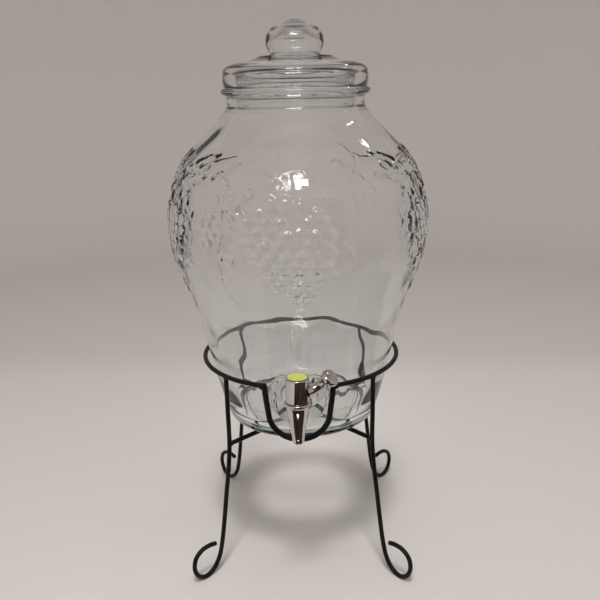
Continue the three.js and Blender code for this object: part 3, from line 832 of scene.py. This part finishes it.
NUT_START, NUT_THICK, NUT_FLATS, NUT_HOLE_R = INNER_FACE_Y + 3.1, 7.0, 24.0, 8.3
NUT_END = NUT_START + NUT_THICK
nut_rounding = rounded([
    (0, NUT_START), (12.2, NUT_START), (13.8, NUT_START + 1), (13.8, NUT_END - 1), (12.2, NUT_END),
    (0, NUT_END),
], 0.3, 3)
nut_mesh = combined(
    mesh_of(along_y(cylinder(NUT_FLATS / math.sqrt(3), NUT_START, NUT_END, 6))),
    [
        ("INTERSECT", mesh_of(along_y(turned(nut_rounding, 72)))),
        ("DIFFERENCE", mesh_of(along_y(cylinder(NUT_HOLE_R, NUT_START - 1, NUT_END + 1, 64)))),
    ],
)
piece("tap_nut", nut_mesh, "jar", plastic, ["spigot_nut"], sharp=28)

# ---------------------------------------------------------------- the valve
SEALS = {"lower": 205.9, "upper": 220.5}
BARREL_R, SEAL_R, SEAL_MIDDLE_R, SEAL_GROOVE_R, SEAL_GROOVE_HALF = 6.9, 0.9, 6.1, 4.9, 1.2
PORT_R, DRIVE_HALF, SCREW_HOLE_R = 3.4, 3.5, 1.8
barrel = [(0, 203.3), (BARREL_R, 203.3)]
for level in SEALS.values():
    low, high = level - SEAL_GROOVE_HALF, level + SEAL_GROOVE_HALF
    barrel += [(BARREL_R, low), (SEAL_GROOVE_R, low), (SEAL_GROOVE_R, high), (BARREL_R, high)]
barrel += [(BARREL_R, 229), (0, 229)]


def side_port():
    """The hole in the plug's side that faces the stem when the valve is open."""
    points, faces = cylinder(PORT_R, 0, 8)
    return [(-z, y, TAP_Z + x) for x, y, z in points], faces


plug_mesh = combined(
    mesh_of(at_tap(turned(rounded(barrel, 0.25, 3), 72))),
    [
        ("UNION", mesh_of(at_tap(block((-DRIVE_HALF, -DRIVE_HALF, 228), (DRIVE_HALF, DRIVE_HALF, 247))))),
        ("DIFFERENCE", mesh_of(at_tap(cylinder(PORT_R, 202, TAP_Z)))),
        ("DIFFERENCE", mesh_of(at_tap(side_port()))),
        ("DIFFERENCE", mesh_of(at_tap(cylinder(SCREW_HOLE_R, 239, 248, 24)))),
    ],
)
piece("valve_barrel", plug_mesh, "valve", plastic, ["valve_plug"], sharp=30)
for name, level in SEALS.items():
    turns = np.linspace(0, 2 * math.pi, 17)[:-1]
    section = [(SEAL_MIDDLE_R + SEAL_R * math.cos(a), level + SEAL_R * math.sin(a)) for a in turns]
    ring = at_tap(turned(section, 64, closed=True))
    piece(f"valve_seal_{name}", ring, "valve", silicone, [f"plug_seal_{name}"])

CAP_R, CAP_TOP_Z, CAP_LOW_Z = 11.5, 254.6, 230.4
DRIVE_HOLE_HALF = 3.8
cap_outline = rounded([
    (0, 238), (6.6, 238), (6.6, 251.2), (9.5, 251.2), (9.5, CAP_LOW_Z), (CAP_R - 0.3, CAP_LOW_Z),
    (CAP_R, CAP_LOW_Z + 0.4), (CAP_R, CAP_TOP_Z - 0.6), (CAP_R - 0.5, CAP_TOP_Z), (0, CAP_TOP_Z),
], 0.35, 4)
drive_hole = block((-DRIVE_HOLE_HALF, -DRIVE_HOLE_HALF, 227), (DRIVE_HOLE_HALF, DRIVE_HOLE_HALF, 247.3))
cap_mesh = combined(
    mesh_of(at_tap(turned(cap_outline, 96))),
    [
        ("DIFFERENCE", mesh_of(at_tap(drive_hole))),
        ("DIFFERENCE", mesh_of(at_tap(cylinder(3.9, 252.2, 256)))),
        ("DIFFERENCE", mesh_of(at_tap(cylinder(SCREW_HOLE_R, 247, 253, 32)))),
    ],
)
piece("valve_cap", cap_mesh, "valve", chrome, ["handle_cap"], sharp=32)

SLOT_HALF, SLOT_Z = 0.35, 253.1
screw_outline = [(0, 240), (1.5, 241.5), (1.5, 252.5), (3.6, 252.5), (3.6, 253.4), (2.6, 254), (0, 254)]
screw_mesh = combined(
    mesh_of(at_tap(turned(rounded(screw_outline, 0.2, 3), 48))),
    [
        ("DIFFERENCE", mesh_of(at_tap(block((-2, -SLOT_HALF, SLOT_Z), (2, SLOT_HALF, 255))))),
        ("DIFFERENCE", mesh_of(at_tap(block((-SLOT_HALF, -2, SLOT_Z), (SLOT_HALF, 2, 255))))),
    ],
)
piece("valve_screw", screw_mesh, "valve", steel, ["cap_screw"], sharp=30)

label_outline = [(0, 254.9), (9.3, 254.9), (9.5, 255.1), (9.2, 255.3), (8.8, 255.3), (8.6, 255.2), (0, 255.2)]
label = at_tap(turned(rounded(label_outline, 0.1, 3), 96))
piece("valve_label", label, "valve", film, ["cap_label"])


def lever_shape():
    """The trumpet-shaped lever: a turned form bent along a line that rises and comes forward."""
    radii = smooth_line([
        (0.0, 7.0), (3, 6.0), (6.5, 5.2), (10.5, 4.8), (15, 4.9), (19.5, 5.8), (23.4, 7.8), (25.2, 8.8),
        (27, 8.9), (28.8, 7.9), (30, 5.0), (30.5, 0.01),
    ], 0.45)
    path = smooth_line([
        (9.8, 0, 240.6), (15.8, 1.4, 242.2), (22, 2.2, 245.8), (28, 1.2, 250.6), (33, -2, 256.2),
    ], 0.25)
    along = np.concatenate([[0], np.cumsum(np.linalg.norm(np.diff(path, axis=0), axis=1))])
    ahead_all = np.gradient(path, axis=0)
    ahead_all /= np.linalg.norm(ahead_all, axis=1)[:, None]
    points, rows, columns = [], [], 56
    for at, r in radii:
        here = min(at, along[-1])
        centre = np.array([np.interp(here, along, path[:, k]) for k in range(3)])
        ahead = np.array([np.interp(here, along, ahead_all[:, k]) for k in range(3)])
        ahead /= np.linalg.norm(ahead)
        side = np.cross((0, 0, 1), ahead)
        side /= np.linalg.norm(side)
        over = np.cross(ahead, side)
        centre = centre + ahead * max(at - along[-1], 0)
        rows.append([len(points) + i for i in range(columns)])
        for i in range(columns):
            turn = 2 * math.pi * i / columns
            points.append(tuple(centre + r * (math.cos(turn) * side + math.sin(turn) * over)))
    faces = strips(rows)
    faces += [rows[0][::-1], rows[-1]]
    return points, faces


room_for_cap = mesh_of(at_tap(cylinder(CAP_R + 0.3, 225, 262, 96)))  # the lever stops just short of the cap
lever_mesh = combined(mesh_of(at_tap(lever_shape())), [("DIFFERENCE", room_for_cap)])
piece("valve_lever", lever_mesh, "valve", chrome, ["lever_arm"], sharp=40)

# ---------------------------------------------------------------- floor, light and camera
# The first colour is a painted pool of light on the floor near the jar. The second is painted shade behind it
# and up the foot of the wall, which evens out the lamps' stronger light there.
FLOOR_PAINTED_LIGHT = (0.51, 0.487, 0.466)
ROOM_LOW_PAINTED_SHADE = (0.465, 0.438, 0.421)
ROOM_BACK = (0.50, 0.468, 0.450)
PAINTED_LIGHT_TO_SHADE = (0.44, 0.62)  # where each colour of the room gives way to the next, in metres behind the jar
PAINTED_SHADE_TO_BACK = (0.5, 2.1)
ROOM_R, WALL_LOW, WALL_HIGH, ROOM_TOP = 2.3, 1.6, 2.4, 4.0
SWEEP_R = 0.8  # of the curve from the floor to the wall

scene = bpy.context.scene
scene.view_settings.view_transform = "Standard"

# A round seamless studio: a floor, paler near the jar than behind it, that sweeps up into a wall and a dome.
# The paleness near the jar is a painted pool of light, and the darker band behind it is painted shade.
quarter = np.linspace(0, math.pi / 2, 17)
sweep = [(0, 0), (0.5, 0), (1.0, 0)]
sweep += [(ROOM_R - SWEEP_R * (1 - math.sin(t)), SWEEP_R * (1 - math.cos(t))) for t in quarter]
sweep += [(ROOM_R, WALL_LOW), (ROOM_R, WALL_HIGH)]
sweep += [(ROOM_R * math.cos(t), WALL_HIGH + (ROOM_TOP - WALL_HIGH) * math.sin(t)) for t in quarter[1:-1]]
sweep += [(0, ROOM_TOP)]
points, faces = turned(sweep, 128)
floor_mesh = bpy.data.meshes.new("floor")
floor_mesh.from_pydata(points, [], [face[::-1] for face in faces])
floor_mesh.shade_smooth()
floor = bpy.data.objects.new("floor", floor_mesh)
scene.collection.objects.link(floor)
paper = finish_of("paper_with_painted_light", Roughness=0.8, Specular_IOR_Level=0.1)
nodes, links = paper.node_tree.nodes, paper.node_tree.links
where = nodes.new("ShaderNodeTexCoord")
split = nodes.new("ShaderNodeSeparateXYZ")
links.new(where.outputs["Object"], split.inputs["Vector"])


def fade_of(source, low, high):
    """A node value that goes softly from 0 at low to 1 at high."""
    node = nodes.new("ShaderNodeMapRange")
    node.interpolation_type = "SMOOTHSTEP"
    for key, value in (("From Min", low), ("From Max", high)):
        node.inputs[key].default_value = value
    links.new(source, node.inputs["Value"])
    return node.outputs["Result"]


def blend(factor, a, b):
    """A node colour between a and b."""
    node = nodes.new("ShaderNodeMix")
    node.data_type = "RGBA"
    for socket, value in (("A", a), ("B", b)):
        if isinstance(value, tuple):
            node.inputs[socket].default_value = (*value, 1)
        else:
            links.new(value, node.inputs[socket])
    links.new(factor, node.inputs["Factor"])
    return node.outputs["Result"]


# The floor's colour carries painted light near the jar and painted shade behind it.
room = blend(fade_of(split.outputs["Y"], *PAINTED_SHADE_TO_BACK), ROOM_LOW_PAINTED_SHADE, ROOM_BACK)
paper_colour_with_painted_light = blend(fade_of(split.outputs["Y"], *PAINTED_LIGHT_TO_SHADE), FLOOR_PAINTED_LIGHT, room)
links.new(paper_colour_with_painted_light, nodes["Principled BSDF"].inputs["Base Color"])
floor_mesh.materials.append(paper)


def stage_only(name, shape, material, *rays):
    """A thing of the studio, not of the jar, that only these kinds of ray meet."""
    mesh = bpy.data.meshes.new(name)
    mesh.from_pydata(shape[0], [], shape[1])
    mesh.materials.append(material)
    ob = bpy.data.objects.new(name, mesh)
    scene.collection.objects.link(ob)
    for ray in ("camera", "diffuse", "glossy", "transmission", "shadow"):
        setattr(ob, f"visible_{ray}", ray in rays)


def board(corners):
    """A flat four-cornered board."""
    return corners, [(0, 1, 2, 3)]


def floor_board(left, right, front, back, height):
    """A rectangular board that lies flat over the floor."""
    return board([(left, front, height), (right, front, height), (right, back, height), (left, back, height)])


# Chrome and glass mirror the dark boards in front: painted shade that stands for the unlit room there.
# Through the glass, the floor behind is a grey board: painted shade on the floor that only the glass shows.
# Dark brown-black painted shade for the boards that chrome and glass mirror.
painted_shade_black = finish_of("brown_black_painted_shade", Roughness=0.9, Specular_IOR_Level=0.1)
varied(painted_shade_black, "Base Color", 4, (0.012, 0.009, 0.007), (0.05, 0.033, 0.024))
BOARD_Z, BEHIND_Z = 0.004, 0.003
NEAR_Y, FRONT_Y = -0.19, -1.5  # where the dark boards start, and where the room's front would be
BOARDS = {
    "low": board([
        (-0.19, NEAR_Y, BOARD_Z), (1.1, NEAR_Y, BOARD_Z), (1.1, FRONT_Y, BOARD_Z), (-0.4, FRONT_Y, BOARD_Z),
    ]),
    "front": board([
        (-0.6, FRONT_Y, BOARD_Z), (1.3, FRONT_Y, BOARD_Z), (1.3, FRONT_Y, 1.15), (-0.6, FRONT_Y, 1.15),
    ]),
    "right": floor_board(0.33, 0.62, NEAR_Y, 0.07, BOARD_Z),
}
for name, shape in BOARDS.items():
    stage_only(f"board_{name}", shape, painted_shade_black, "glossy")
# A grey board seen only through the glass: painted shade on the floor behind the jar.
painted_shade_grey = finish_of("grey_painted_shade", Base_Color=(0.39, 0.368, 0.352, 1), Roughness=0.8, Specular_IOR_Level=0.1)
stage_only("painted_shade_behind", floor_board(-1.2, 1.2, 0.18, 0.7, BEHIND_Z), painted_shade_grey, "transmission")

# The thick heel throws a ring of shade, and the thin glass above it hardly any.
SHADE_R, SHADE_Z, SHADE_HALF_WIDTH, SHADE_HALF_HEIGHT = 0.084, 0.165, 0.022, 0.006
turns = np.linspace(0, 2 * math.pi, 13)[:-1]
section = [
    (SHADE_R + SHADE_HALF_WIDTH * math.cos(a), SHADE_Z + SHADE_HALF_HEIGHT * math.sin(a)) for a in turns
]
points, faces = turned(section, 96, closed=True)
stage_only("heel_shade", ([(x, y + AXIS.y, z) for x, y, z in points], faces), painted_shade_black, "shadow")

world = bpy.data.worlds.new("room")
world.use_nodes = True
scene.world = world
world.node_tree.nodes["Background"].inputs["Color"].default_value = (0.335, 0.308, 0.290, 1)


def area_light(name, place, target, size, power, colour=(1, 1, 1), mirrored=True):
    """A rectangular lamp that faces its target. One that isn't mirrored gives light but isn't seen."""
    data = bpy.data.lights.new(name, "AREA")
    data.shape, data.size, data.size_y = "RECTANGLE", size[0], size[1]
    data.energy, data.color = power, colour
    ob = bpy.data.objects.new(name, data)
    scene.collection.objects.link(ob)
    ob.location = place
    ob.rotation_euler = (Vector(target) - Vector(place)).to_track_quat("-Z", "Y").to_euler()
    ob.visible_glossy = ob.visible_transmission = mirrored


WARM_WHITE = (1.0, 0.99, 0.985)
area_light("key", (-0.05, -1.45, 1.75), (0, 0, 0.35), (0.75, 0.32), 14, (1.0, 0.985, 0.97))
area_light("ceiling", (1.3, 0.8, 1.95), (0, 0, 0.3), (0.09, 0.11), 1.3, (1.0, 0.99, 0.98))
area_light("overhead", (0, -0.35, 2.9), (0, 0, 0), (1.5, 1.5), 12, WARM_WHITE, mirrored=False)
area_light("sun", (0, -1.06, 2.54), (0, 0, 0.165), (0.45, 0.45), 38, WARM_WHITE, mirrored=False)
area_light("dome", (0, -0.3, 2.95), (0, -0.3, 4), (1.2, 1.2), 16, mirrored=False)
area_light("front_wall", (0, -0.8, 2.4), (0, -2.3, 2.2), (1.0, 0.6), 16, mirrored=False)
area_light("glint_middle", (0.0, -0.36, 0.012), (0, -0.36, 1), (0.12, 0.013), 0.03)

# The camera stands in front, looks down at the jar, and is turned a little, as the photograph was taken.
DISTANCE, HEIGHT, PITCH, TURN, ROLL, ASIDE = 0.768, 0.518, 16.67, 1.587, -1.156, 0.000256
turn, pitch, roll = math.radians(TURN), math.radians(PITCH), math.radians(ROLL)
right = Vector((math.cos(turn), math.sin(turn), 0))
look = Vector((-math.sin(turn) * math.cos(pitch), math.cos(turn) * math.cos(pitch), -math.sin(pitch)))
up = right.cross(look)
right, up = right * math.cos(roll) + up * math.sin(roll), up * math.cos(roll) - right * math.sin(roll)
camera_data = bpy.data.cameras.new("camera")
camera_data.lens, camera_data.sensor_width = 42.456, 36.0
camera_data.clip_start, camera_data.clip_end = 0.02, 200
camera = bpy.data.objects.new("camera", camera_data)
scene.collection.objects.link(camera)
stand_at = AXIS + Vector((DISTANCE * math.sin(turn), -DISTANCE * math.cos(turn), HEIGHT))
stand_at += Vector((math.cos(turn), math.sin(turn), 0)) * ASIDE
camera.matrix_world = Matrix.Translation(stand_at) @ Matrix((right, up, -look)).transposed().to_4x4()
scene.camera = camera

bpy.context.view_layer.update()
